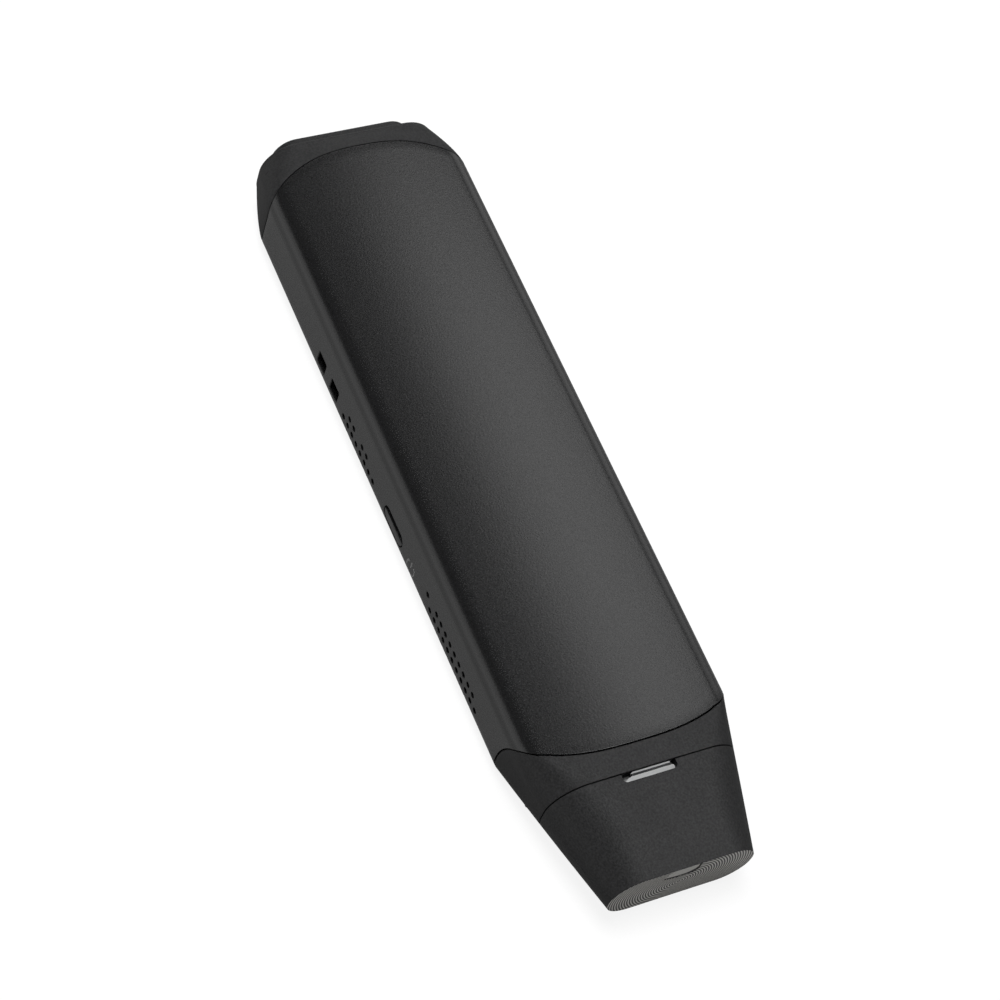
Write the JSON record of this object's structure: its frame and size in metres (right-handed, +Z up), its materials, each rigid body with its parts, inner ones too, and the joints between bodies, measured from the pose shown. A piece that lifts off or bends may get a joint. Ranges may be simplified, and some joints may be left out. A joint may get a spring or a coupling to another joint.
{
  "type": "hdmi stick computer",
  "caption": "Slim black stick computer with a crowned body, side vents, power button, rear ports and a tapered pull-off cap over its display plug.",
  "frame": {"origin": "middle of the flat underside, halfway along the overall length", "axes": "+X along the length towards the display plug and cap, +Z up out of the crowned top"},
  "size_m": [0.1378, 0.0348, 0.015],
  "materials": {
    "shell": "fine matt texture",
    "end_shell": "fine matt texture",
    "underside": "fine matt texture",
    "bezel": "satin",
    "button": "satin",
    "cap_lining": "satin",
    "end_metal": "turned in fine rings",
    "clear": "frosted",
    "lamp": "clear",
    "dark_screw": "blackened",
    "bright_screw": "plated",
    "board": "solder resist",
    "chip": "moulded",
    "pad": "soft",
    "sink": "extruded",
    "tin": "tinned",
    "ceramic": "fired",
    "black_plastic": "moulded",
    "blue_plastic": "moulded",
    "white_plastic": "moulded",
    "shaft": "ground",
    "bronze": "sintered",
    "copper": "enamelled wire",
    "plug_metal": "plated",
    "gold": "gold plated"
  },
  "bodies": {
    "body": {"main_sleeve": "shell", "bottom_cover": "underside", "cover_screws": "dark_screw", "rear_cover": "end_shell", "port_bezel": "bezel", "front_collar": "end_shell", "light_guide": "clear", "status_lamp": "lamp", "power_switch": "black_plastic", "main_board": "board", "board_screws": "bright_screw", "processor": "chip", "thermal_pad": "pad", "heat_sink": "sink", "heat_sink_screws": "bright_screw", "memory_chips": "chip", "storage_chip": "chip", "wireless_module": "board", "wireless_shield": "tin", "antennas": "ceramic", "power_inductors": "chip", "power_chip": "chip", "clock_cell": "tin", "capacitors": "ceramic", "blower_housing": "black_plastic", "blower_lid": "tin", "blower_bush": "bronze", "blower_stator": "copper", "blower_screws": "bright_screw", "plug_block": "black_plastic", "plug_shell": "plug_metal", "plug_insulator": "black_plastic", "plug_contacts": "gold", "rear_usb_shell": "plug_metal", "rear_usb_tongue": "blue_plastic", "rear_usb_contacts": "gold", "side_usb_shell": "plug_metal", "side_usb_tongue": "black_plastic", "side_usb_contacts": "gold", "power_socket_shell": "plug_metal", "power_socket_tongue": "black_plastic", "power_socket_contacts": "gold", "audio_jack": "black_plastic", "jack_terminals": "tin"},
    "cap": {"cap_shell": "end_shell", "cap_liner": "cap_lining", "cap_end_plate": "end_metal"},
    "button": {"power_button": "button"},
    "plunger": {"switch_plunger": "white_plastic"},
    "impeller": {"blower_rotor": "black_plastic", "blower_shaft": "shaft"}
  },
  "joints": [
    {"name": "cap_pull", "type": "slide", "parent": "body", "child": "cap", "axis": [1, 0, 0], "range_m": [0, 0.03]},
    {"name": "button_press", "type": "slide", "parent": "body", "child": "button", "axis": [0, 1, 0], "range_m": [0, 0.0004], "stiffness_N_per_m": 2000},
    {"name": "plunger_press", "type": "slide", "parent": "body", "child": "plunger", "axis": [0, 1, 0], "range_m": [0, 0.0004]},
    {"name": "impeller_spin", "type": "hinge", "parent": "body", "child": "impeller", "pos_m": [0.0235, -0.00355, 0.005], "axis": [0, 0, 1], "continuous": true}
  ],
  "couplings": [
    {"joint": "plunger_press", "follows": "button_press", "ratio": 1}
  ]
}
